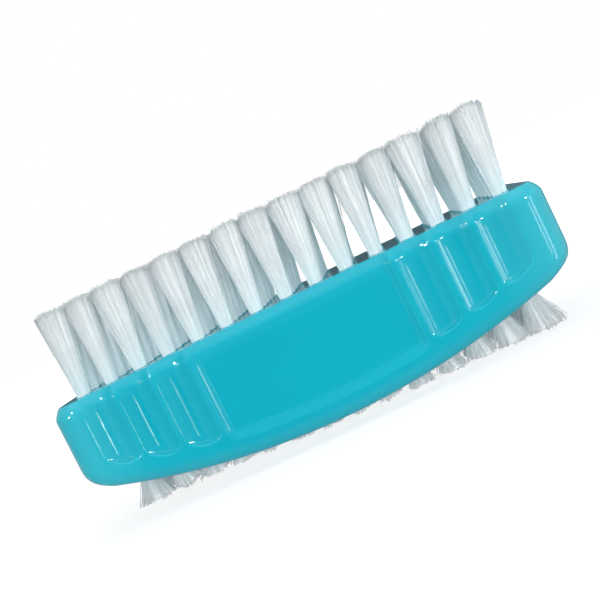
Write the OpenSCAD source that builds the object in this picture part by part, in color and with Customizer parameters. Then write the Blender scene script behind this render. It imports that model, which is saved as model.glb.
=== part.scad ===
// Double-sided nail brush: a moulded handle with finger grooves, a long bristle field on top and a
// short one underneath. The brush stands on its short bristles, whose tips lie in the plane z = 0.
// X runs along the handle, Y across it and Z up.

/* [Handle] */
// Length of the handle
handle_l = 97.5; // [94:0.5:104]
// Width of the handle
handle_w = 36; // [34:0.5:42]
// Height of the handle at mid length
handle_h = 23.5; // [22.5:0.5:27]
// How much lower the handle is at its ends, where the underside curves up
camber_rise = 8.3; // [4:0.1:9.5]
// Radius of the four upright corners
corner_r = 6; // [4:0.25:9]
// How far the rounding of the upper rim reaches in from the side
rim_inset = 1.6; // [0.8:0.1:2]
// How far the rounding of the upper rim reaches down the side
rim_drop = 2.2; // [1.2:0.1:2.4]
// How far the rounding of the lower edge reaches in from the side
base_inset = 1.8; // [1:0.1:2.4]
// How far the rounding of the lower edge reaches up the side
base_rise = 3.2; // [1:0.1:3.2]

/* [Finger grooves] */
// Half length of the wide centre panel, from the middle to its ridge
panel_half_l = 20; // [18:0.1:21]
// Width of the slope between a ridge and the flat of the panel
panel_side_run = 2; // [1.5:0.1:3]
// Spacing of the upright ridges
ridge_pitch = 7.4; // [6.6:0.1:7.6]
// Depth of the grooves below the ridges
groove_depth = 1.2; // [0.6:0.1:1.6]
// Depth of the panel below its ridges
panel_depth = 0.7; // [0.4:0.1:1.1]
// Distance from the line of a ridge at which its flank is steepest
flank_at = 1; // [0.6:0.1:1.3]
// Height of the smooth band left between the lower ends and the underside
groove_base_gap = 3.4; // [3.3:0.1:5]
// Length over which a groove runs out at its lower end
groove_base_run = 2.7; // [1.5:0.1:3]
// Length over which the panel runs out at its lower edge
panel_base_run = 2; // [1:0.1:2.4]

/* [Tuft pattern] */
// Spacing of the tufts along the handle
column_pitch = 6; // [5.6:0.05:6.2]
// Spacing of the rows across the handle
row_pitch = 6; // [5.6:0.05:6.2]
// Columns of tufts in each upper row; each lower row has one fewer, set between them
columns = 15; // [9:2:15]
// Rows in the upper face
upper_rows = 5; // [3:1:5]
// Rows in the lower face
lower_rows = 4; // [2:2:4]
// Diameter of a tuft hole
hole_d = 2.8; // [2.2:0.1:3]
// Depth of an upper tuft hole
upper_hole_depth = 6; // [4:0.25:6.5]
// Depth of a lower tuft hole
lower_hole_depth = 5; // [4:0.25:5.5]

/* [Bristles] */
// Free length of the long upper bristles
upper_free_l = 16.5; // [12:0.25:20]
// Free length of the short lower bristles at mid length
lower_free_l = 2.5; // [2:0.25:4]
// Width of a tuft at the tips of the long bristles
upper_tip_w = 5.4; // [4:0.1:5.5]
// Thickness of one strand where it leaves the root
strand_root_w = 0.9; // [0.6:0.05:0.95]
// Gap between neighbouring strands of a tuft at the root
strand_gap = 0.12; // [0.05:0.01:0.15]
// Gap between neighbouring strands of a tuft at the long tips
strand_tip_gap = 0.7; // [0.3:0.05:1.2]
// How far the tips of the long bristles stand above or below their common level
tip_scatter = 0.25; // [0:0.05:0.5]
// How deep the lower tips are trimmed to give the flat that the brush stands on
trim_depth = 0.5; // [0.3:0.1:0.6]

/* [Anchors] */
// Thickness of an anchor
anchor_t = 0.4; // [0.3:0.05:0.5]
// Height of an anchor
anchor_h = 1.8; // [1.2:0.1:2.2]
// Height of the bristle fold that the anchor holds down
fold_h = 0.8; // [0.5:0.1:1.2]

/* [Hidden] */
// Clearance between a tuft or an anchor and its hole, on each side
fit_gap = 0.05;
// Overrun of a cut past the face that it opens
cut = 1;
// Depth to which a strand is bonded into its root
strand_bond = 0.3;

tuft_face_z = lower_free_l + handle_h;
half_l = handle_l / 2;
half_w = handle_w / 2;
camber_r = (half_l * half_l + camber_rise * camber_rise) / (2 * camber_rise);
side_straight = half_l - corner_r;
end_straight = half_w - corner_r;
groove_zone = ridge_pitch / 2;
grooves_per_end = 3;
grip_half_l = panel_half_l + grooves_per_end * ridge_pitch;
hole_r = hole_d / 2;
root_r = hole_r - fit_gap;

// Counts of the handle's surface steps
panel_steps = 5;
panel_side_steps = 4;
groove_steps = 8;
corner_steps = 7;
rim_steps = 4;
wall_steps = 3;
run_steps = 4;
base_steps = 3;

function row_names(stem, rows) = [for (r = [1:rows]) str(stem, "_row_", r)];

// Height of the cambered underside at x
function underside_z(x) =
    lower_free_l + camber_r - sqrt(camber_r * camber_r - x * x);

function clamp01(t) = min(max(t, 0), 1);
function smooth(t) = let (c = clamp01(t)) c * c * (3 - 2 * c);

// Distance from a ridge at which the groove or the panel at x has its full depth
function side_run(x) = abs(x) < panel_half_l ? panel_side_run : groove_zone;

// Place of x between its nearest ridge (0) and the bottom of its groove or the panel's flat (1)
function groove_place(x) = let (a = abs(x))
    a >= grip_half_l ? 0
    : a < panel_half_l ? clamp01((panel_half_l - a) / panel_side_run)
    : let (p = (a - panel_half_l) % ridge_pitch) clamp01(min(p, ridge_pitch - p) / groove_zone);

// Share of the full depth at x: the flank of a ridge is steepest at flank_at from its line
function flank_share(x) = let (d = groove_place(x), steepest = flank_at / side_run(x))
    d < steepest ? d * d / steepest : 1 - (1 - d) * (1 - d) / (1 - steepest);

// Length over which the groove or the panel at x runs out at its lower end
function base_run(x) = abs(x) < panel_half_l ? panel_base_run : groove_base_run;

// Height at x where the groove or the panel ends, rounded up towards the ridges
function groove_end_z(x) = let (d = groove_place(x))
    underside_z(x) + groove_base_gap
    + side_run(x) * (1 - sqrt(1 - (1 - d) * (1 - d))) / 2;

// Depth of the grip below the plain side wall, which it keeps right up through the upper rim
function grip_depth(x, z) = (abs(x) < panel_half_l ? panel_depth : groove_depth)
    * flank_share(x) * smooth((z - groove_end_z(x)) / base_run(x));

// Stations round one quarter of the plan outline, each with its outward direction
panel_edge_x = panel_half_l - panel_side_run;
groove_step = ridge_pitch / groove_steps;
groove_station_count = floor((side_straight - panel_half_l) / groove_step);
function side_station(x) = [x, -half_w, 0, -1];
side_stations = concat(
    [for (i = [0:panel_steps - 1]) side_station(panel_edge_x * i / panel_steps)],
    [for (i = [0:panel_side_steps - 1])
        side_station(panel_edge_x + panel_side_run * i / panel_side_steps)],
    [for (i = [0:groove_station_count - 1]) side_station(panel_half_l + i * groove_step)]
);
corner_stations = [for (i = [0:corner_steps]) let (a = 90 * i / corner_steps)
    [side_straight + corner_r * sin(a), -end_straight - corner_r * cos(a), sin(a), -cos(a)]];
quarter = concat(side_stations, corner_stations);
function flip_x(s) = [-s[0], s[1], -s[2], s[3]];
function flip_y(s) = [s[0], -s[1], s[2], -s[3]];
quarter_last = len(quarter) - 1;
near_half = concat(
    [for (i = [quarter_last:-1:1]) flip_x(quarter[i])],
    quarter
);
half_count = len(near_half);
outline = concat(near_half, [for (i = [half_count - 1:-1:0]) flip_y(near_half[i])]);
ring_count = len(outline);

// Levels from the flat top to the underside. Each gives a height and an inset at a station.
function rim_level(i) = let (a = 90 * i / rim_steps)
    [tuft_face_z - rim_drop * (1 - cos(a)), rim_inset * (1 - sin(a))];
function base_level(s, i) = let (a = 90 * i / base_steps)
    [underside_z(s[0]) + base_rise * (1 - sin(a)), base_inset * (1 - cos(a))];
function wall_level(z) = [z, 0];
rim_end_z = tuft_face_z - rim_drop;
function levels(s) = let (end_z = groove_end_z(s[0]), full_z = end_z + base_run(s[0])) concat(
    [for (i = [0:rim_steps]) rim_level(i)],
    [for (i = [1:wall_steps - 1]) wall_level(rim_end_z + (full_z - rim_end_z) * i / wall_steps)],
    [for (i = [run_steps:-1:0]) wall_level(end_z + (full_z - end_z) * i / run_steps)],
    [for (i = [0:base_steps]) base_level(s, i)]
);

// The point of a station at a level, pulled in by the edge rounding and by the grip
function skin_point(s, level) = let (
        grip = abs(s[3]) > 0 ? grip_depth(s[0], level[0]) : 0,
        x_at = s[0] - s[2] * (level[1] + grip),
        y_at = s[1] - s[3] * (level[1] + grip)
    ) [x_at, y_at, level[0]];

module handle_block() {
    rings = [for (s = outline) [for (l = levels(s)) skin_point(s, l)]];
    level_count = len(rings[0]);
    points = [for (l = [0:level_count - 1]) for (i = [0:ring_count - 1]) rings[i][l]];
    wall = [for (l = [0:level_count - 2]) for (i = [0:ring_count - 1])
        let (
            j = (i + 1) % ring_count,
            a = l * ring_count + i,
            b = l * ring_count + j,
            c = (l + 1) * ring_count + i,
            d = (l + 1) * ring_count + j
        )
        each [[a, b, d], [a, d, c]]];
    // The top and the underside are rows of strips across the handle
    function strip(first, i) = [first + i, first + i + 1,
        first + ring_count - 1 - i, first + ring_count - 2 - i];
    top = [for (i = [0:half_count - 2]) let (s = strip(0, i))
        each [[s[0], s[3], s[1]], [s[0], s[2], s[3]]]];
    last = (level_count - 1) * ring_count;
    underside = [for (i = [0:half_count - 2]) let (s = strip(last, i))
        each [[s[0], s[1], s[3]], [s[0], s[3], s[2]]]];
    polyhedron(points = points, faces = concat(top, wall, underside));
}

// Place of a tuft in a grid that is centred on the handle
function column_x(c, count) = (c - (count + 1) / 2) * column_pitch;
function row_y(r, rows) = (r - (rows + 1) / 2) * row_pitch;
lower_columns = columns - 1;

module body() {
    color("#22b2c6")
    difference() {
        handle_block();
        for (c = [1:columns], r = [1:upper_rows])
            translate([column_x(c, columns), row_y(r, upper_rows), tuft_face_z - upper_hole_depth])
                cylinder(d = hole_d, h = upper_hole_depth + cut, $fn = 32);
        for (c = [1:lower_columns], r = [1:lower_rows])
            let (x = column_x(c, lower_columns))
            translate([x, row_y(r, lower_rows), underside_z(x) - cut])
                cylinder(d = hole_d, h = lower_hole_depth + cut, $fn = 32);
    }
}

// One four-sided strand that starts at the root and ends on a level plane
module strand(place, root_w, tip_place, tip_w, length) {
    function corner_set(p, w, z) = [for (k = [[-1, -1], [1, -1], [1, 1], [-1, 1]])
        [p[0] + k[0] * w / 2, p[1] + k[1] * w / 2, z]];
    polyhedron(
        points = concat(corner_set(place, root_w, -strand_bond),
            corner_set(tip_place, tip_w, length)),
        faces = [[0, 1, 2], [0, 2, 3], [4, 6, 5], [4, 7, 6],
            [0, 5, 1], [0, 4, 5], [1, 6, 2], [1, 5, 6],
            [2, 7, 3], [2, 6, 7], [3, 4, 0], [3, 7, 4]]
    );
}

// Directions from a tuft's middle to its strands, in steps of half a strand and half a gap
square_places = [[-1, -1], [-1, 1], [1, -1], [1, 1]];
triangle_places = [[-1, -1], [1, -1], [0, 1]];

// One tuft: the folded root that fills its hole, and the strands that fan out from it.
// It stands on z = 0, the plane of the hole's mouth, and its root reaches down from there.
module tuft(root_depth, length, places, scatter) {
    root_place = (strand_root_w + strand_gap) / 2;
    tip_w = 2 * strand_root_w + strand_gap + spread_per_length * length;
    tip_gap = strand_gap + gap_per_length * length;
    tip_strand_w = (tip_w - tip_gap) / 2;
    tip_place = (tip_strand_w + tip_gap) / 2;
    difference() {
        translate([0, 0, -root_depth])
            cylinder(r = root_r, h = root_depth, $fn = 32);
        translate([0, 0, -root_depth + fold_h + anchor_h / 2])
            cube([hole_d + cut, anchor_t, anchor_h], center = true);
    }
    for (k = [0:len(places) - 1])
        strand(places[k] * root_place, strand_root_w,
            places[k] * tip_place, tip_strand_w, length + scatter[k]);
}

module anchor(root_depth) {
    translate([0, 0, -root_depth + fold_h + anchor_h / 2])
        cube([hole_d - 2 * fit_gap, anchor_t, anchor_h], center = true);
}

// Short tufts keep the fan angle of the long ones
spread_per_length = (upper_tip_w - 2 * strand_root_w - strand_gap) / upper_free_l;
gap_per_length = (strand_tip_gap - strand_gap) / upper_free_l;

// An uneven but repeatable height for each strand of a tuft
function uneven(c, r) = [for (k = [0:3]) tip_scatter * sin(137.5 * (7 * c + 31 * r + 3 * k))];
level_tips = [0, 0, 0];

module upper_tufts(r) {
    color("#e9f1f2")
    for (c = [1:columns])
        translate([column_x(c, columns), row_y(r, upper_rows), tuft_face_z])
            tuft(upper_hole_depth, upper_free_l, square_places, uneven(c, r));
}

// The lower tufts hang down from the cambered underside and are trimmed level with z = 0
module lower_tufts(r) {
    color("#dfe8ea")
    difference() {
        for (c = [1:lower_columns])
            let (x = column_x(c, lower_columns), mouth_z = underside_z(x))
            translate([x, row_y(r, lower_rows), mouth_z])
                mirror([0, 0, 1])
                    tuft(lower_hole_depth, mouth_z + trim_depth, triangle_places, level_tips);
        translate([0, 0, -trim_depth])
            cube([2 * handle_l, 2 * handle_w, 2 * trim_depth], center = true);
    }
}

module upper_anchors(r) {
    color("#c9a95c")
    for (c = [1:columns])
        translate([column_x(c, columns), row_y(r, upper_rows), tuft_face_z])
            anchor(upper_hole_depth);
}

module lower_anchors(r) {
    color("#c9a95c")
    for (c = [1:lower_columns])
        let (x = column_x(c, lower_columns))
        translate([x, row_y(r, lower_rows), underside_z(x)])
            mirror([0, 0, 1])
                anchor(lower_hole_depth);
}

body();
for (r = [1:upper_rows])
    upper_tufts(r);
for (r = [1:lower_rows])
    lower_tufts(r);
for (r = [1:upper_rows])
    upper_anchors(r);
for (r = [1:lower_rows])
    lower_anchors(r);
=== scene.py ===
# Looks of the double-sided nail brush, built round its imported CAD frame.
# Metres, in the frame of the CAD: X along the handle, Y across it, Z up, bristle tips on z = 0.
import math

import bmesh
import bpy
import numpy as np
from mathutils import Matrix, Vector
from mathutils.geometry import delaunay_2d_cdt


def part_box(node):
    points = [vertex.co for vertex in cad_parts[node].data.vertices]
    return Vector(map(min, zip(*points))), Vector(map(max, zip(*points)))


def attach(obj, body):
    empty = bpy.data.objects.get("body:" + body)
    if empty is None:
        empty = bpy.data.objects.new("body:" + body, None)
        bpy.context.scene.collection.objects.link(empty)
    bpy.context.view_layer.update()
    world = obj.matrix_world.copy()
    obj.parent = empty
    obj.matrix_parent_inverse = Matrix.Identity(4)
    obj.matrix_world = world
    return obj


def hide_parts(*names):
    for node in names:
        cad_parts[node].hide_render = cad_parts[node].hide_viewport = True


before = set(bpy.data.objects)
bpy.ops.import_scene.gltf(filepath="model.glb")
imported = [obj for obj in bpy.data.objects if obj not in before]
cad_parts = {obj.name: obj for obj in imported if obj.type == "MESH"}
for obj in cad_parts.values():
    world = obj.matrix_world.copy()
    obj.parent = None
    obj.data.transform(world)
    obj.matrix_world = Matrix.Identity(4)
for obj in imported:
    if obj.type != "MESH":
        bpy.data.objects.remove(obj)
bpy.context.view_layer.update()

mm = 0.001

# Sizes of the handle, from the frame where it holds them
body_low, body_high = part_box("body")
handle_l = body_high.x - body_low.x
handle_w = body_high.y - body_low.y
tuft_face_z = body_high.z
lower_free_l = body_low.z
camber_rise = 8.3 * mm
corner_r = 6 * mm
rim_inset = 1.6 * mm
rim_drop = 2.2 * mm
base_inset = 1.8 * mm
base_rise = 3.2 * mm
panel_half_l = 20 * mm
panel_side_run = 2 * mm
ridge_pitch = 7.4 * mm
grooves_per_end = 3
groove_depth = 1.2 * mm
panel_depth = 0.7 * mm
flank_at = 1 * mm

# Power of the rim's rounding, where 2 is round and 1 is a flat bevel
rim_power = 1.3

# Lower ends of the grips: the band left below them, and the length over which they run out
groove_base_gap = 4.2 * mm
groove_base_run = 1.0 * mm
panel_base_gap = 3.4 * mm
panel_base_run = 2.3 * mm

# Sizes of the tufts
column_pitch = 6 * mm
row_pitch = 6 * mm
upper_columns = 15
lower_columns = 14
upper_rows = 5
lower_rows = 4
hole_r = 1.4 * mm
upper_hole_depth = 6 * mm
lower_hole_depth = 5 * mm
upper_free_l = 16.5 * mm
anchor_t = 0.4 * mm
fold_h = 0.8 * mm
filament_r = 0.09 * mm

# Worked-out places on the handle
half_l = handle_l / 2
half_w = handle_w / 2
side_straight = half_l - corner_r
end_straight = half_w - corner_r
groove_zone = ridge_pitch / 2
grip_half_l = panel_half_l + grooves_per_end * ridge_pitch
camber_r = (half_l**2 + camber_rise**2) / (2 * camber_rise)


def underside_z(x):
    """Height of the cambered underside at x."""
    return lower_free_l + camber_r - math.sqrt(camber_r**2 - x**2)


def clamp01(t):
    return min(max(t, 0.0), 1.0)


def smooth(t):
    c = clamp01(t)
    return c * c * (3 - 2 * c)


def in_panel(x):
    return abs(x) < panel_half_l


def side_run(x):
    """Distance from a ridge at which the groove or the panel at x has its full depth."""
    return panel_side_run if in_panel(x) else groove_zone


def groove_place(x):
    """Place of x between its nearest ridge (0) and the bottom of its groove or the panel (1)."""
    a = abs(x)
    if a >= grip_half_l:
        return 0.0
    if in_panel(x):
        return clamp01((panel_half_l - a) / panel_side_run)
    p = (a - panel_half_l) % ridge_pitch
    return clamp01(min(p, ridge_pitch - p) / groove_zone)


def flank_share(x):
    """Share of the full depth at x: the flank of a ridge is steepest at flank_at from its line."""
    d, steepest = groove_place(x), flank_at / side_run(x)
    return d * d / steepest if d < steepest else 1 - (1 - d) ** 2 / (1 - steepest)


def base_run(x):
    """Length over which the groove or the panel at x runs out at its lower end."""
    return panel_base_run if in_panel(x) else groove_base_run


def groove_end_z(x):
    """Height at x where the groove or the panel ends, rounded up towards the ridges."""
    d = groove_place(x)
    gap = panel_base_gap if in_panel(x) else groove_base_gap
    return underside_z(x) + gap + side_run(x) * (1 - math.sqrt(1 - (1 - d) ** 2)) / 2


def grip_depth(x, z):
    """Depth of the finger grooves and of the centre panel, which run up through the rim."""
    depth = panel_depth if in_panel(x) else groove_depth
    return depth * flank_share(x) * smooth((z - groove_end_z(x)) / base_run(x))


# Camera, placed as it stood for the photograph. The lens and the sensor are in mm.
camera_place = Vector((19.9 * mm, -177.5 * mm, tuft_face_z + 9.02 * mm))
camera_turn = math.radians(6.184)
camera_tilt = math.radians(-3.6)
camera_roll = math.radians(-26.19)
camera_lens = 55.42
sensor_width = 36
camera_clip = 10 * mm


def make_camera():
    data = bpy.data.cameras.new("camera")
    data.sensor_width = sensor_width
    data.lens = camera_lens
    data.clip_start = camera_clip
    camera = bpy.data.objects.new("camera", data)
    bpy.context.scene.collection.objects.link(camera)
    camera.matrix_world = (
        Matrix.Translation(camera_place)
        @ Matrix.Rotation(camera_turn, 4, "Z")
        @ Matrix.Rotation(math.pi / 2 + camera_tilt, 4, "X")
        @ Matrix.Rotation(camera_roll, 4, "Z")
    )
    bpy.context.scene.camera = camera


def add_piece(name, verts, faces, material):
    """A smooth mesh object of the brush, riding on its one body."""
    mesh = bpy.data.meshes.new(name)
    mesh.from_pydata(verts, [], faces)
    mesh.validate()
    mesh.polygons.foreach_set("use_smooth", [True] * len(mesh.polygons))
    mesh.materials.append(material)
    piece = bpy.data.objects.new(name, mesh)
    bpy.context.scene.collection.objects.link(piece)
    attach(piece, "root")
    return piece


# Materials
class Tree:
    """The nodes of one material or world, with short calls that add and link them."""

    def __init__(self, owner, shader):
        owner.use_nodes = True
        self.nodes = owner.node_tree.nodes
        self.links = owner.node_tree.links
        self.shader = self.nodes[shader]

    def put(self, value, socket):
        """Links an output to the socket, or gives the socket a plain value."""
        if isinstance(value, bpy.types.NodeSocket):
            self.links.new(value, socket)
        elif socket.type == "RGBA":
            socket.default_value = (*value, 1)
        else:
            socket.default_value = value

    def surface(self, values):
        """Sets the inputs of the material's shader or of the world's background."""
        for name, value in values.items():
            self.put(value, self.shader.inputs[name])

    def filled(self, node, inputs, output):
        """Gives a node these inputs, and returns one of its outputs."""
        for name, value in inputs.items():
            self.put(value, node.inputs[name])
        return node.outputs[output]

    def place(self, output):
        return self.nodes.new("ShaderNodeTexCoord").outputs[output]

    def attribute(self, name):
        node = self.nodes.new("ShaderNodeAttribute")
        node.attribute_name = name
        return node.outputs["Fac"]

    def axes(self, vector):
        node = self.nodes.new("ShaderNodeSeparateXYZ")
        self.put(vector, node.inputs["Vector"])
        return [node.outputs[axis] for axis in "XYZ"]

    def length(self, vector):
        node = self.nodes.new("ShaderNodeVectorMath")
        node.operation = "LENGTH"
        return self.filled(node, {"Vector": vector}, "Value")

    def noise(self, scale, detail, stretch=(1, 1, 1)):
        """Noise in object space, with scale in features per metre."""
        mapping = self.nodes.new("ShaderNodeMapping")
        place = self.filled(mapping, {"Vector": self.place("Object"), "Scale": stretch}, "Vector")
        node = self.nodes.new("ShaderNodeTexNoise")
        return self.filled(node, {"Vector": place, "Scale": scale, "Detail": detail}, "Fac")

    def mapped(self, value, given, wanted=(0, 1)):
        """Brings a value from the given range to the wanted one, and keeps it there."""
        node = self.nodes.new("ShaderNodeMapRange")
        from_min, from_max = given
        to_min, to_max = wanted
        ends = {"From Min": from_min, "From Max": from_max, "To Min": to_min, "To Max": to_max}
        return self.filled(node, {"Value": value} | ends, "Result")

    def mix(self, factor, first, second, blend="MIX", clamped=True):
        node = self.nodes.new("ShaderNodeMix")
        node.data_type = "RGBA"
        node.blend_type = blend
        node.clamp_factor = clamped
        return self.filled(node, {"Factor": factor, "A": first, "B": second}, "Result")

    def tinted(self, first, second):
        return self.mix(1, first, second, blend="MULTIPLY")

    def bump(self, height, strength, distance):
        node = self.nodes.new("ShaderNodeBump")
        inputs = {"Height": height, "Strength": strength, "Distance": distance}
        return self.filled(node, inputs, "Normal")

    def maths(self, operation, first, second):
        node = self.nodes.new("ShaderNodeMath")
        node.operation = operation
        self.put(first, node.inputs[0])
        self.put(second, node.inputs[1])
        return node.outputs["Value"]

    def distance(self, value, middle):
        return self.maths("ABSOLUTE", self.maths("SUBTRACT", value, middle), 0)

    def product(self, first, second):
        return self.maths("MULTIPLY", first, second)

    def brightest(self, first, *others):
        for other in others:
            first = self.maths("MAXIMUM", first, other)
        return first


white = (1, 1, 1)
black = (0, 0, 0)


def new_material(name):
    material = bpy.data.materials.new(name)
    return material, Tree(material, "Principled BSDF")


def plastic_material():
    """Glossy moulded teal, with a paler, milky sheen painted into its colour towards both ends of the
    handle.
    """
    material, tree = new_material("teal_plastic")
    flow = tree.mapped(tree.noise(60, 2, (0.4, 1, 1)), (0.3, 0.7))
    teal = tree.mix(flow, (0.004, 0.38, 0.49), (0.005, 0.41, 0.52))
    along, _, _ = tree.axes(tree.place("Object"))
    # Painted sheen: the colour turns paler and milkier towards both ends of the handle
    painted_sheen_share = tree.mapped(tree.distance(along, 0), (34 * mm, 52 * mm))
    haze = tree.noise(900, 4, (0.3, 1, 1))
    tree.surface({
        "Base Color": tree.mix(painted_sheen_share, teal, (0.045, 0.47, 0.56)),
        "Roughness": tree.mapped(haze, (0.3, 0.75), (0.05, 0.10)),
        "Normal": tree.bump(tree.noise(1800, 2), 0.03, 0.1 * mm),
        "IOR": 1.47,
        "Subsurface Weight": 0.2,
        "Subsurface Radius": (0.15, 0.9, 1.0),
        "Subsurface Scale": 1.5 * mm,
    })
    return material


def bristle_material(name, root_colour, middle_colour, shaded_tip_colour, painted_root_glow, painted_far_glow):
    """Milky nylon, coloured by each filament's attributes: its place along it and its tone. Painted
    light: a bluer root for teal bounce, shade towards the tips and in furrows, and a glow near the
    roots.
    """
    material, tree = new_material(name)
    along = tree.attribute("along")
    tone = tree.attribute("tone")
    # The root colour is bluer than the middle: painted teal bounce light from the handle
    first_half = tree.mix(tree.mapped(along, (0.0, 0.5)), root_colour, middle_colour)
    # Painted shade: the colour darkens towards the tips, and a darker band is painted on the last of
    # each filament
    shaded_to_tips = tree.mix(tree.mapped(along, (0.6, 1.0)), first_half, shaded_tip_colour)
    painted_tip_band = tree.mix(tree.mapped(along, (0.95, 1.0)), shaded_to_tips, (0.48, 0.51, 0.52))
    toned = tree.tinted(painted_tip_band, tree.mix(tone, (0.96, 0.965, 0.965), white))
    packed = tree.noise(4200, 1, (1, 1, 0.03))
    # Painted shade: darker where the bump's noise is low, in the furrows between the packed filaments
    furrow_shade = tree.mix(tree.mapped(packed, (0.35, 0.6)), (0.91, 0.925, 0.93), white)
    gloss = tree.noise(1500, 2, (1, 1, 0.1))
    tree.surface({
        "Base Color": tree.tinted(toned, furrow_shade),
        "Roughness": tree.mapped(gloss, (0.3, 0.7), (0.3, 0.45)),
        "Normal": tree.bump(packed, 0.12, 0.06 * mm),
        "IOR": 1.52,
        "Subsurface Weight": 0.6,
        "Subsurface Radius": (0.9, 1.0, 1.0),
        "Subsurface Scale": 3 * mm,
        # Painted light: a cyan glow, strongest at the roots, stands in for light through the nylon
        # and teal bounce from the handle
        "Emission Color": (0.68, 0.93, 1.0),
        "Emission Strength": tree.mapped(along, (0.0, 0.4), (painted_root_glow, painted_far_glow)),
    })
    return material


def brass_material():
    """Sheared brass strip, with a grain along it."""
    material, tree = new_material("anchor_brass")
    grain = tree.noise(4000, 3, (0.2, 1, 1))
    tree.surface({
        "Base Color": tree.mix(grain, (0.55, 0.38, 0.13), (0.78, 0.58, 0.25)),
        "Roughness": tree.mapped(grain, (0.3, 0.7), (0.22, 0.4)),
        "Metallic": 1,
    })
    return material


def paper_material():
    """A white ground that glows, with painted shade round the brush: its glow is dimmer near the
    brush.
    """
    material, tree = new_material("floor_paper")
    away = tree.length(tree.place("Object"))
    tree.surface({
        "Base Color": tree.mix(tree.noise(300, 3), (0.38, 0.38, 0.38), (0.42, 0.42, 0.42)),
        "Roughness": 0.9,
        "Specular IOR Level": 0,
        "Emission Color": white,
        # Painted shade: the glow is weaker within reach of the brush and grows away from it
        "Emission Strength": tree.mapped(away, (50 * mm, 300 * mm), (0.8, 1.2)),
    })
    return material


# Counts of the handle's surface steps
panel_steps = 12
panel_side_steps = 12
groove_steps = 32
corner_steps = 26
rim_steps = 12
wall_steps = 8
base_run_steps = 14
band_steps = 3
base_steps = 8

# How far the flat rim of the top and of the underside reaches in past their roundings
flat_margin = 0.25 * mm


def quarter_turn(i, steps):
    return math.pi / 2 * i / steps


def stations():
    """Points round the plan outline, each (x, y, outward x, outward y)."""
    panel_edge = panel_half_l - panel_side_run
    step = ridge_pitch / groove_steps
    xs = [panel_edge * i / panel_steps for i in range(panel_steps)]
    xs += [panel_edge + panel_side_run * i / panel_side_steps for i in range(panel_side_steps)]
    xs += [panel_half_l + step * i for i in range(int((side_straight - panel_half_l) / step))]
    quarter = [(x, -half_w, 0.0, -1.0) for x in xs]
    for i in range(corner_steps + 1):
        a = quarter_turn(i, corner_steps)
        s, c = math.sin(a), math.cos(a)
        quarter.append((side_straight + corner_r * s, -end_straight - corner_r * c, s, -c))
    near = [(-x, y, -nx, ny) for x, y, nx, ny in quarter[:0:-1]] + quarter
    return near + [(x, -y, nx, -ny) for x, y, nx, ny in near[::-1]]


def levels(x):
    """Heights and insets down the side wall at a station, from the tufting face to the base."""
    rows = [(tuft_face_z, rim_inset + flat_margin)]
    for i in range(rim_steps + 1):
        a = quarter_turn(i, rim_steps)
        out, rise = (max(v, 0.0) ** (2 / rim_power) for v in (math.sin(a), math.cos(a)))
        rows.append((tuft_face_z - rim_drop * (1 - rise), rim_inset * (1 - out)))
    low = underside_z(x)
    rim_end = tuft_face_z - rim_drop
    end_low = groove_end_z(x)
    end_high = end_low + base_run(x)
    base_top = low + base_rise
    # The wall, the run-out of the grip and the plain band under it
    for start, end, steps, first in (
        (rim_end, end_high, wall_steps, 1),
        (end_high, end_low, base_run_steps, 0),
        (end_low, base_top, band_steps, 0),
    ):
        rows += [(start + (end - start) * i / steps, 0) for i in range(first, steps)]
    for i in range(base_steps + 1):
        a = quarter_turn(i, base_steps)
        rows.append((low + base_rise * (1 - math.sin(a)), base_inset * (1 - math.cos(a))))
    rows.append((low, base_inset + flat_margin))
    return rows


def skin_point(station, level):
    """The point of a station at a level, pulled in by the edge rounding and by the grip."""
    x, y, nx, ny = station
    z, inset = level
    pulled = inset + grip_depth(x, z)
    return (x - nx * pulled, y - ny * pulled, z)


def base_face_z(x):
    """Height of the underside between the base roundings, which lifts a little at the ends."""
    a = abs(x)
    if a > side_straight:
        a = side_straight + (a - side_straight) * corner_r / (corner_r - base_inset)
    return underside_z(min(a, half_l))


# Raised lip of a tuft hole, in mm: distance out from the hole's edge and height, from outside in
lip_profile = [(0.45, 0), (0.33, 0.02), (0.22, 0.09), (0.12, 0.13), (0.04, 0.09), (-0.01, -0.05)]
hole_segments = 28
lip_seed = 11
# Share of its height that the lip has at least, and how much chance adds to it
lip_least = 0.55
lip_chance = 0.75
# The lip stands higher at its two ends along X: by how much, and how far round, as a sine
nick_rise = 1.6
nick_width = 0.3
# Triangles whose middle lies this close to a hole, as a share of the lip's radius, are left out
hole_share = 0.98
# Points of a face closer than this become one
merge_distance = 1e-9


def drilled_hole(centre, height, direction, end_z, rng, verts, faces):
    """Adds a lipped blind hole, and gives the numbers of the verts round its lip."""
    cx, cy = centre
    turn = [2 * math.pi * k / hole_segments for k in range(hole_segments)]
    bumps = [lip_least + lip_chance * rng.random() for _ in range(hole_segments)]
    rings = []
    for out, lift in lip_profile:
        r = hole_r + out * mm
        ring = []
        for k, a in enumerate(turn):
            x, y = cx + r * math.cos(a), cy + r * math.sin(a)
            nick = 1 + nick_rise * math.exp(-((math.sin(a) / nick_width) ** 2))
            share = (bumps[k] + bumps[k - 1]) / 2 * nick
            z = height(x) + direction * (max(lift, 0) * share + min(lift, 0)) * mm
            ring.append(len(verts))
            verts.append((x, y, z))
        rings.append(ring)
    # The hole goes down at the radius of the lip's last ring
    bore_r = hole_r + lip_profile[-1][0] * mm
    end_ring = []
    for a in turn:
        end_ring.append(len(verts))
        verts.append((cx + bore_r * math.cos(a), cy + bore_r * math.sin(a), end_z))
    rings.append(end_ring)
    for outer, inner in zip(rings, rings[1:]):
        for k in range(hole_segments):
            j = (k + 1) % hole_segments
            faces.append((outer[k], outer[j], inner[j], inner[k]))
    faces.append(tuple(end_ring))
    return rings[0]


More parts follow.
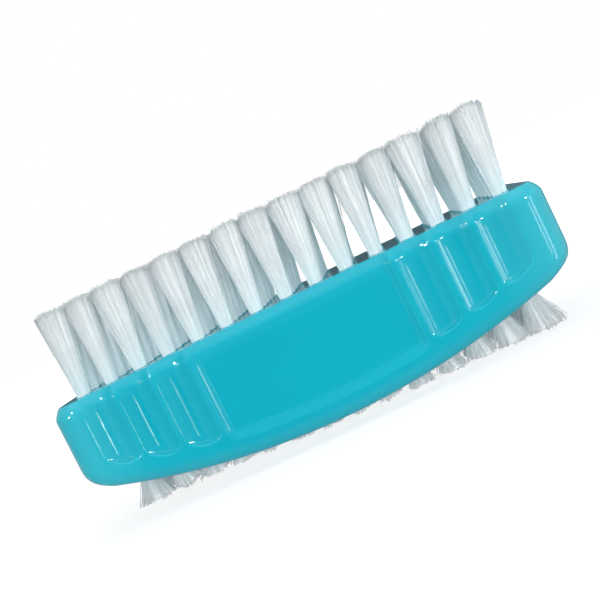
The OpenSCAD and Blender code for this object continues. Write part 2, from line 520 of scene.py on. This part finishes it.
def drilled_face(seam, centres, height, direction, hole_end, rng, verts, faces):
    """Fills the outline with a face that has a lipped blind hole at each centre.

    seam holds the numbers of the outline's vertices, height(x) gives the face, direction is +1
    where it looks up, and hole_end(x) is the height that a hole reaches."""
    points = [Vector(verts[i][:2]) for i in seam]
    edges = [(i, (i + 1) % len(seam)) for i in range(len(seam))]
    numbers = list(seam)
    lip_r = hole_r + lip_profile[0][0] * mm
    for centre in centres:
        lip = drilled_hole(centre, height, direction, hole_end(centre[0]), rng, verts, faces)
        first = len(points)
        points += [Vector(verts[i][:2]) for i in lip]
        edges += [(first + k, first + (k + 1) % hole_segments) for k in range(hole_segments)]
        numbers += lip
    found, _, triangles, origin, _, _ = delaunay_2d_cdt(points, edges, [], 1, merge_distance)
    for triangle in triangles:
        middle = sum((found[i] for i in triangle), Vector((0, 0))) / 3
        if all((middle - Vector(c)).length >= lip_r * hole_share for c in centres):
            faces.append(tuple(numbers[origin[i][0]] for i in triangle))


def centred(i, count, pitch):
    """Place of item i in a row of so many that is centred on zero."""
    return (i - (count - 1) / 2) * pitch


def hole_centres(columns, rows):
    return [
        (centred(c, columns, column_pitch), centred(r, rows, row_pitch))
        for c in range(columns)
        for r in range(rows)
    ]


def make_handle(material):
    """The moulded handle: one skin of rings, with a drilled top and a drilled underside."""
    rng = np.random.default_rng(lip_seed)
    rings = [[skin_point(s, level) for level in levels(s[0])] for s in stations()]
    level_count = len(rings[0])
    count = len(rings)
    verts = [ring[i] for i in range(level_count) for ring in rings]
    faces = []
    for i in range(level_count - 1):
        for k in range(count):
            j = (k + 1) % count
            faces.append((i * count + k, i * count + j, (i + 1) * count + j, (i + 1) * count + k))
    top = range(count)
    base = range((level_count - 1) * count, level_count * count)
    drilled_face(
        top, hole_centres(upper_columns, upper_rows), lambda x: tuft_face_z, 1,
        lambda x: tuft_face_z - upper_hole_depth, rng, verts, faces)
    drilled_face(
        base, hole_centres(lower_columns, lower_rows), base_face_z, -1,
        lambda x: underside_z(x) + lower_hole_depth, rng, verts, faces)
    handle = add_piece("handle", verts, faces, material)
    shell = bmesh.new()
    shell.from_mesh(handle.data)
    bmesh.ops.recalc_face_normals(shell, faces=shell.faces)
    shell.to_mesh(handle.data)
    shell.free()
    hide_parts("body")
    return handle


# Bristles: each filament is folded round its anchor and has two free ends
folded_per_tuft = 100
filament_sides = 3
golden_angle = math.pi * (3 - math.sqrt(5))
# Radius within which the filaments leave their hole, a little clear of its wall
mouth_gap = 0.03 * mm
mouth_r = hole_r - filament_r - mouth_gap
# Unevenness of the roots, as a share of that radius, and of the filaments' bow
root_jitter = 0.03
bow_jitter = 0.06
# How much of their spread the legs of a fold keep beside the anchor, and how far up they keep it
anchor_squeeze = 0.75
straight_leg = 1.4 * mm
# Share of the fold's height that the filaments nearest the anchor dip under it
least_dip = 0.2

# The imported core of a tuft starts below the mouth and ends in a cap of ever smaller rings
core_segments = 28
core_rings = 6
core_start = 1.0 * mm
cap_shares = (0.85, 0.6, 0.3)


def half_disc(count, rng):
    """Evenly spread places in the half y > 0 of a disc of radius 1."""
    k = np.arange(4 * count)
    a = k * golden_angle + rng.uniform(0, 2 * math.pi)
    r = np.sqrt((k + 0.5) / (2 * count))
    places = np.stack([r * np.cos(a), r * np.sin(a)], 1)
    inside = places[(places[:, 1] > 0) & (r < 1)]
    return inside[:count]


def ring_quads(number):
    """Faces between the rings of an array of vertex numbers, whose last axis goes round."""
    a, b = number[..., :-1, :], number[..., 1:, :]
    return np.stack([a, np.roll(a, -1, -1), np.roll(b, -1, -1), b], -1).reshape(-1, 4).tolist()


def swept(paths, radius):
    """Verts and faces of thin prisms along paths, an array of filaments x points x 3."""
    many, length = paths.shape[:2]
    along = np.gradient(paths, axis=1)
    along /= np.linalg.norm(along, axis=2, keepdims=True)
    side = np.zeros_like(paths)
    side[..., 0] = 1
    side -= (side * along).sum(2, keepdims=True) * along
    side /= np.linalg.norm(side, axis=2, keepdims=True)
    other = np.cross(along, side)
    turn = 2 * math.pi * np.arange(filament_sides) / filament_sides
    ring = np.cos(turn)[:, None] * side[:, :, None, :] + np.sin(turn)[:, None] * other[:, :, None, :]
    verts = (paths[:, :, None, :] + radius * ring).reshape(-1, 3)
    number = np.arange(many * length * filament_sides).reshape(many, length, filament_sides)
    caps = np.concatenate([number[:, 0, ::-1], number[:, -1]])
    return verts, ring_quads(number) + caps.tolist()


def bent(mouth, tip, t, bow):
    """Place at the share t of the way from mouth to tip, for a bristle that bows outwards."""
    return mouth + (tip - mouth) * (t * (1 - bow) + t * t * bow)


def tuft_paths(rng, look):
    """Filaments of one tuft that stands on z = 0, the hole's mouth, and fans out upwards."""
    half = half_disc(folded_per_tuft, rng)
    count = len(half)
    fold_z = -look["root_depth"] + fold_h
    clumps = rng.uniform(-1, 1, (look["clumps"], 2))
    shorter = np.abs(rng.normal(0, look["ragged"], look["clumps"]))
    legs = []
    for sign in (1, -1):
        root = half * (1, sign)
        root = root + rng.normal(0, root_jitter, root.shape)
        root /= np.maximum(1, np.linalg.norm(root, axis=1, keepdims=True))
        mouth = root * mouth_r
        spread = root + rng.normal(0, look["scatter"], root.shape)
        nearest = np.argmin(((spread[:, None] - clumps[None]) ** 2).sum(2), 1)
        spread += look["clumping"] * (clumps[nearest] - spread)
        tip = spread * look["tip_r"] + look["lean"]
        stray = rng.random(count) < look["stray_share"]
        tip[stray] += rng.normal(0, look["stray_spread"], (stray.sum(), 2))
        tip_z = look["tip_z"](rng, root) - shorter[nearest]
        bow = rng.normal(look["bow"], bow_jitter, count)[:, None]
        leg = [
            np.column_stack([bent(mouth, tip, t, bow), tip_z * t])
            for t in np.linspace(1, 0, look["segments"] + 1)
        ]
        anchor_y = sign * (anchor_t / 2 + filament_r + np.abs(mouth[:, 1]) * anchor_squeeze)
        reach = np.sqrt(np.maximum(mouth_r**2 - anchor_y**2, 0))
        anchor_x = np.clip(mouth[:, 0], -reach, reach)
        leg += [
            np.column_stack([anchor_x, anchor_y, np.full(count, z)])
            for z in (fold_z + straight_leg, fold_z)
        ]
        legs.append(leg)
    dip_share = least_dip + (1 - least_dip) * np.abs(half[:, 1])
    dip = fold_z - (fold_h - 2 * filament_r) * dip_share
    middle = np.column_stack([(legs[0][-1][:, 0] + legs[1][-1][:, 0]) / 2, np.zeros(count), dip])
    return np.stack([*legs[0], middle, *legs[1][::-1]], 1)


def tuft_core(rng, look):
    """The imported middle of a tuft: verts, faces, and each vert's place along it and tone."""
    turn = 2 * math.pi * np.arange(core_segments) / core_segments
    around = np.stack([np.cos(turn), np.sin(turn)], 1)
    flutes = rng.normal(0, look["flutes"], core_segments)
    flutes = 1 + (flutes + np.roll(flutes, 1)) / 2
    share = look["core_share"]
    mouth = around * share * mouth_r
    tip = around * (share * look["tip_r"] * flutes)[:, None] + look["lean"]
    edge_z = look["dome"](around * share) - look["core_sink"]
    rings = [np.column_stack([mouth, np.full(core_segments, -core_start)])]
    along = [0.0]
    for t in np.linspace(0, 1, core_rings):
        rings.append(np.column_stack([bent(mouth, tip, t, look["bow"]), edge_z * t]))
        along.append(t)
    for inner in cap_shares:
        place = around * share * inner
        top_z = look["dome"](place) - look["core_sink"]
        rings.append(np.column_stack([place * look["tip_r"] + look["lean"], top_z]))
        along.append(1.0)
    verts = np.concatenate(rings)
    number = np.arange(len(verts)).reshape(len(rings), core_segments)
    faces = ring_quads(number) + [number[0, ::-1].tolist(), number[-1].tolist()]
    tone = np.tile(rng.random(core_segments), len(rings))
    return verts, faces, np.repeat(along, core_segments), tone


def bristle_row(name, node, material, tufts):
    """One row of tufts as one piece. tufts gives each tuft's paths, core and place."""
    paths = np.concatenate([tuft_path + place for tuft_path, _, place in tufts])
    verts, faces = swept(paths, filament_r)
    many, length = paths.shape[:2]
    rng = np.random.default_rng(many)
    half = np.linspace(1, 0, (length + 1) // 2)
    along = [np.repeat(np.tile(np.concatenate([half, half[-2::-1]]), many), filament_sides)]
    tone = [np.repeat(rng.random(many), length * filament_sides)]
    verts = [verts]
    for _, (core_verts, core_faces, core_along, core_tone), place in tufts:
        start = sum(len(part) for part in verts)
        verts.append(core_verts + place)
        faces += [[i + start for i in face] for face in core_faces]
        along.append(core_along)
        tone.append(core_tone)
    row = add_piece(name, np.concatenate(verts).tolist(), faces, material)
    for label, values in (("along", along), ("tone", tone)):
        attribute = row.data.attributes.new(label, "FLOAT", "POINT")
        attribute.data.foreach_set("value", np.concatenate(values).astype(np.float32))
    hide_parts(node)
    return row


def bristle_rows(side, rows, columns, material, tuft_at):
    """The rows of tufts on the upper or the lower side, with the tufts that tuft_at(r, c) gives."""
    return [
        bristle_row(
            f"{side}_bristles_row_{r + 1}", f"{side}_tufts_row_{r + 1}",
            material, [tuft_at(r, c) for c in range(columns)])
        for r in range(rows)
    ]


# How the tufts of each side look. Tips draw together by clumping round so many clumps, and a whole
# clump is shorter by about ragged. scatter, stray_share and stray_spread set tips out of place. The
# core has core_share of the tuft's radius and flutes in its sides, and ends core_sink below the dome.
upper_look = {
    "clumps": 22, "clumping": 0.04, "ragged": 0.3 * mm,
    "scatter": 0.03, "stray_share": 0.015, "stray_spread": 1.1 * mm,
    "segments": 4, "bow": 0.1, "root_depth": upper_hole_depth,
    "core_share": 0.97, "core_sink": 0.45 * mm, "flutes": 0.012,
}
lower_look = {
    "clumps": 9, "clumping": 0.2, "ragged": 0.2 * mm,
    "scatter": 0.15, "stray_share": 0.04,
    "segments": 3, "bow": 0.1, "root_depth": lower_hole_depth,
    "core_share": 0.85, "core_sink": 0.5 * mm, "flutes": 0.06,
}

# Seeds of the tufts, which go up by row_seeds from row to row and by one from tuft to tuft
upper_seed = 1000
lower_seed = 3000
row_seeds = 50

# The long tufts: the radius of their tips and how far they lean towards +X. The near row is the
# most even.
upper_tip_r = 2.95 * mm
upper_lean_x = 0.8 * mm
near_row_sway = 0.2 * mm
far_row_sway = 0.5 * mm
sideways_sway = 0.2 * mm
upper_width_chance = 0.05
# How the long tips are cut: the height of a tuft's middle, the fall of its shoulders along and
# across the row, all in mm, and the slope from one shoulder to the other
crown = 0.45
shoulder_fall = (0.55, 0.1)
shoulder_power = 4
crown_slope = 0.12
# Unevenness of the single tips, and the few that are well off the cut
tip_jitter = 0.14 * mm
odd_share = 0.02
odd_lengths = (-0.8, 0.45)


def upper_dome(slope):
    """Height of the long tips over a tuft: cut nearly level, lower at the shoulders."""
    def dome(root):
        fall = root**shoulder_power @ shoulder_fall
        return upper_free_l + (crown - fall + root @ slope) * mm
    return dome


def upper_tuft(r, c):
    rng = np.random.default_rng(upper_seed + row_seeds * r + c)
    dome = upper_dome(rng.normal(0, crown_slope, 2))
    sway = near_row_sway if r == 0 else far_row_sway

    def tips(rng, root):
        count = len(root)
        odd = rng.random(count) < odd_share
        height = dome(root) + rng.normal(0, tip_jitter, count)
        return height + odd * rng.uniform(*odd_lengths, count) * mm

    look = upper_look | {
        "tip_r": upper_tip_r * (1 + rng.normal(0, upper_width_chance)),
        "lean": (upper_lean_x + rng.normal(0, sway), rng.normal(0, sideways_sway)),
        "tip_z": tips,
        "dome": dome,
    }
    x = centred(c, upper_columns, column_pitch)
    y = centred(r, upper_rows, row_pitch)
    return tuft_paths(rng, look), tuft_core(rng, look), (x, y, tuft_face_z)


# The short tufts: their width at the tips over that at the mouth, which grows with their length,
# and, as shares of that length, their lean, how much it varies and how far strays stand off
lower_fan = 1.45
lower_fan_growth = 2.9
lower_lean_share = 0.06
lower_sway_share = 0.04
lower_stray_share = 0.1
# Wear of the short tips, in mm: all over, at the -X end, where it grows over a length, and in a
# hollow near the middle
even_wear = 0.1
end_wear = 1.6
end_wear_from = 2
end_wear_run = 30
hollow_wear = 0.45
hollow_at = 2
hollow_width = 10
# Wear of each short tuft: its rounded edge, the height of its ripples, how close they follow and
# the range of their phases, and the chance cut of single tips. Wear takes no more than one share
# of the length, and wear and cut together leave at least the other.
edge_wear = 0.4 * mm
edge_power = 4
ripple_height = 0.3 * mm
ripple_turns = 4
ripple_phases = 6
worn_tip_cut = 0.3 * mm
most_wear_share = 0.6
least_length_share = 0.4
# Room between the longest short tips and the plane that the brush stands on
ground_clearance = 0.02 * mm


def lower_wear(x):
    """How far the short tips have worn back from the plane that the brush stands on, at x."""
    end = end_wear * smooth((-x / mm + end_wear_from) / end_wear_run)
    middle = hollow_wear * math.exp(-((x / mm - hollow_at) / hollow_width) ** 2)
    return (even_wear + end + middle) * mm


def lower_dome(free, wear, ripple, phase):
    """Reach of the short tips over a tuft: worn back and ragged."""
    def dome(root):
        radius = np.linalg.norm(root, axis=1)
        ragged = ripple * (1 + np.sin(root[:, 0] * ripple_turns + phase))
        worn = wear + edge_wear * radius**edge_power + ragged
        return free - ground_clearance - np.minimum(worn, most_wear_share * free)
    return dome


def lower_tuft(r, c):
    """A short tuft, made upwards and then turned over to hang from the underside."""
    rng = np.random.default_rng(lower_seed + row_seeds * r + c)
    x = centred(c, lower_columns, column_pitch)
    y = centred(r, lower_rows, row_pitch)
    free = underside_z(x)
    dome = lower_dome(
        free, lower_wear(x), ripple_height * rng.random(), rng.uniform(0, ripple_phases))

    def tips(rng, root):
        cut = np.abs(rng.normal(0, worn_tip_cut, len(root)))
        return np.maximum(dome(root) - cut, least_length_share * free)

    fan = lower_fan + lower_fan_growth * free / upper_free_l
    look = lower_look | {
        "stray_spread": lower_stray_share * free,
        "tip_r": (hole_r - filament_r) * fan,
        "lean": ((lower_lean_share + rng.normal(0, lower_sway_share)) * free,
                 rng.normal(0, lower_sway_share) * free),
        "tip_z": tips,
        "dome": dome,
    }
    turned_over = (1, 1, -1)
    paths = tuft_paths(rng, look) * turned_over
    verts, faces, along, tone = tuft_core(rng, look)
    core = (verts * turned_over, [face[::-1] for face in faces], along, tone)
    return paths, core, (x, y, free)


def dress_anchors(material):
    for name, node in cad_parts.items():
        if "anchors" in name:
            node.data.materials.clear()
            node.data.materials.append(material)


# Stage: a pale floor, a plain surround and studio lights
floor_half = 20


def make_floor():
    """A floor that only the camera sees, so that it sends no light or shadow to the brush."""
    corners = [(x * floor_half, y * floor_half, 0) for x, y in ((-1, -1), (1, -1), (1, 1), (-1, 1))]
    mesh = bpy.data.meshes.new("floor")
    mesh.from_pydata(corners, [], [(0, 1, 2, 3)])
    mesh.materials.append(paper_material())
    floor = bpy.data.objects.new("floor", mesh)
    bpy.context.scene.collection.objects.link(floor)
    floor.visible_diffuse = False
    floor.visible_glossy = False
    floor.visible_transmission = False
    floor.visible_shadow = False


def make_world():
    """White to the camera. The plastic mirrors a room that is bright only in some directions."""
    world = bpy.data.worlds.new("surround")
    bpy.context.scene.world = world
    tree = Tree(world, "Background")
    across, deep, up = tree.axes(tree.place("Generated"))
    mapped, product, brightest = tree.mapped, tree.product, tree.brightest
    # A faint light all round, which is stronger on the left, weaker at the far left and strongest
    # at the far right
    far_left = mapped(across, (-0.9, -0.65), (0.5, 1))
    faint = product(far_left, mapped(across, (-0.6, -0.25), (0.42, 0.3)))
    far_right = mapped(across, (0.5, 0.95), (0.0, 0.3))
    sides = tree.maths("ADD", faint, far_right)
    # A ceiling, dimmer towards the back, and a glow from below
    above = product(mapped(up, (0.55, 0.85), (0, 1.1)), mapped(deep, (0.1, 0.5), (1, 0.45)))
    below = mapped(up, (-0.3, -0.6), (0, 0.6))
    # The wall behind the brush, with a dark band at the brush's own height
    behind = mapped(deep, (0.2, 0.6), (0, 0.6))
    level = mapped(tree.distance(up, 0), (0.45, 0.25))
    dark_band = mapped(product(mapped(deep, (0.6, 0.85)), level), (0, 1), (1, 0.2))
    # A dim patch in front, a little to the left and below, which the near side mirrors
    off_patch = brightest(
        mapped(tree.distance(across, -0.14), (0.1, 0.28)),
        mapped(tree.distance(up, -0.12), (0.04, 0.3)),
        behind)
    dim_patch = mapped(off_patch, (0, 1), (0.27, 1))
    bright = brightest(above, behind, sides, below)
    lit = product(product(bright, dim_patch), dark_band)
    room = tree.mix(lit, black, (0.95, 0.98, 1.0), clamped=False)
    to_camera = tree.nodes.new("ShaderNodeLightPath").outputs["Is Camera Ray"]
    tree.surface({"Color": tree.mix(to_camera, room, white)})


def aimed(obj, place, target):
    obj.location = place
    obj.rotation_mode = "QUATERNION"
    obj.rotation_quaternion = (Vector(target) - Vector(place)).to_track_quat("-Z", "Y")


def add_light(name, azimuth, elevation, distance, width, height, power):
    """A soft rectangular light. Azimuth 0 is in front of the near side, positive to the right."""
    a, e = math.radians(azimuth), math.radians(elevation)
    data = bpy.data.lights.new(name, "AREA")
    data.shape = "RECTANGLE"
    data.size = width
    data.size_y = height
    data.energy = power
    light = bpy.data.objects.new(name, data)
    bpy.context.scene.collection.objects.link(light)
    target = Vector((0, 0, tuft_face_z / 2))
    direction = Vector((math.sin(a) * math.cos(e), -math.cos(a) * math.cos(e), math.sin(e)))
    aimed(light, target + direction * distance, target)
    light.visible_camera = False
    return light


def add_soft(receivers, *values):
    """A broad light for the receivers, without a reflection of its own."""
    light = add_light(*values)
    light.visible_glossy = False
    light.light_linking.receiver_collection = receivers
    return light


# Lights that show as narrow lines in the upright ridges. Their height and elevation are those at
# which the near wall mirrors them to the camera.
glint_distance = 0.8
line_elevation = -6
line_height = 0.4
beam_spread = math.radians(8)


def add_glint(name, azimuth, elevation, width, height, power, shiny, distance=glint_distance):
    """A light that only shows as a reflection in the plastic."""
    light = add_light(name, azimuth, elevation, distance, width, height, power)
    light.visible_diffuse = False
    light.visible_transmission = False
    light.light_linking.receiver_collection = shiny
    return light


def add_beam(name, azimuth, width, power, aim_x, shiny):
    """A glint that is kept to a narrow beam round aim_x on the near wall."""
    beam = add_glint(name, azimuth, line_elevation, width, line_height, power, shiny)
    aimed(beam, beam.location, (aim_x, -half_w, tuft_face_z / 2))
    beam.data.spread = beam_spread


# Distance of the camera's flash, over the camera's own
flash_reach = 1.6


def collection_of(name, objects):
    collection = bpy.data.collections.new(name)
    for obj in objects:
        collection.objects.link(obj)
    return collection


# Each light has its azimuth and elevation in degrees, then its distance, its width and its height
# in metres, and its power in watts. A glint has no distance, and a beam only a width.
def light_bristles(bristles):
    soft = collection_of("bristles", bristles)
    flash = add_soft(soft, "bristle_flash", 0, 0, 1, 0.05, 0.05, 0.42)
    middle = Vector((0, 0, tuft_face_z))
    aimed(flash, middle + (camera_place - middle) * flash_reach, middle)
    add_soft(soft, "bristle_front", 8, 4, 0.4, 0.3, 0.15, 0.8)
    add_soft(soft, "bristle_back", 170, 45, 1.0, 0.8, 0.5, 2.1)
    add_soft(soft, "bristle_right", 55, 14, 0.6, 0.3, 0.2, 0.35)


def light_handle(handle):
    shiny = collection_of("shiny_plastic", [handle])
    add_soft(shiny, "key", -30, 14, 0.9, 0.6, 0.5, 4.6)
    add_soft(shiny, "fill", 35, 15, 1.0, 0.5, 0.5, 3.5)
    add_soft(shiny, "side", 78, 12, 0.45, 0.25, 0.2, 0.52)
    add_soft(shiny, "side_left", -78, 5, 0.5, 0.25, 0.2, 0.12)
    add_soft(shiny, "back", 170, 45, 1.0, 0.8, 0.5, 1.2)
    add_soft(shiny, "far_side", 178, 10, 0.9, 0.6, 0.5, 2.5)
    # Three widths, one behind the other, give the right-hand lines a soft edge
    for width, power in ((0.04, 0.22), (0.09, 0.2), (0.16, 0.2)):
        add_glint(f"glint_right_{width}", 64.5, line_elevation, width, line_height, power, shiny,
                  glint_distance + width / 4)
    add_beam("glint_front_thin", 5.9, 0.05, 0.0042, -1.5 * half_l, shiny)
    add_beam("glint_panel_edge", 48, 0.24, 0.004, -0.8 * half_l, shiny)
    add_glint("glint_upper_right", 54, 20, 0.12, 0.12, 2.8, shiny)
    add_glint("glint_upper_left", -52, 42, 0.045, 0.045, 1.6, shiny)
    add_glint("glint_upper_left_low", -58, 26, 0.04, 0.04, 1.3, shiny)


make_camera()
handle = make_handle(plastic_material())
# Upper and lower nylon: the bluer roots are painted teal bounce light, the darker tips painted shade
# and the glows painted light
upper_nylon = bristle_material(
    "upper_nylon", root_colour=(0.82, 0.92, 0.95), middle_colour=(0.85, 0.90, 0.91),
    shaded_tip_colour=(0.66, 0.68, 0.685), painted_root_glow=0.24, painted_far_glow=0.07)
lower_nylon = bristle_material(
    "lower_nylon", root_colour=(0.70, 0.75, 0.77), middle_colour=(0.72, 0.75, 0.76),
    shaded_tip_colour=(0.64, 0.66, 0.67), painted_root_glow=0.08, painted_far_glow=0.06)
upper = bristle_rows("upper", upper_rows, upper_columns, upper_nylon, upper_tuft)
lower = bristle_rows("lower", lower_rows, lower_columns, lower_nylon, lower_tuft)
dress_anchors(brass_material())
make_floor()
make_world()
light_bristles(upper + lower)
light_handle(handle)
bpy.context.scene.view_settings.view_transform = "Standard"
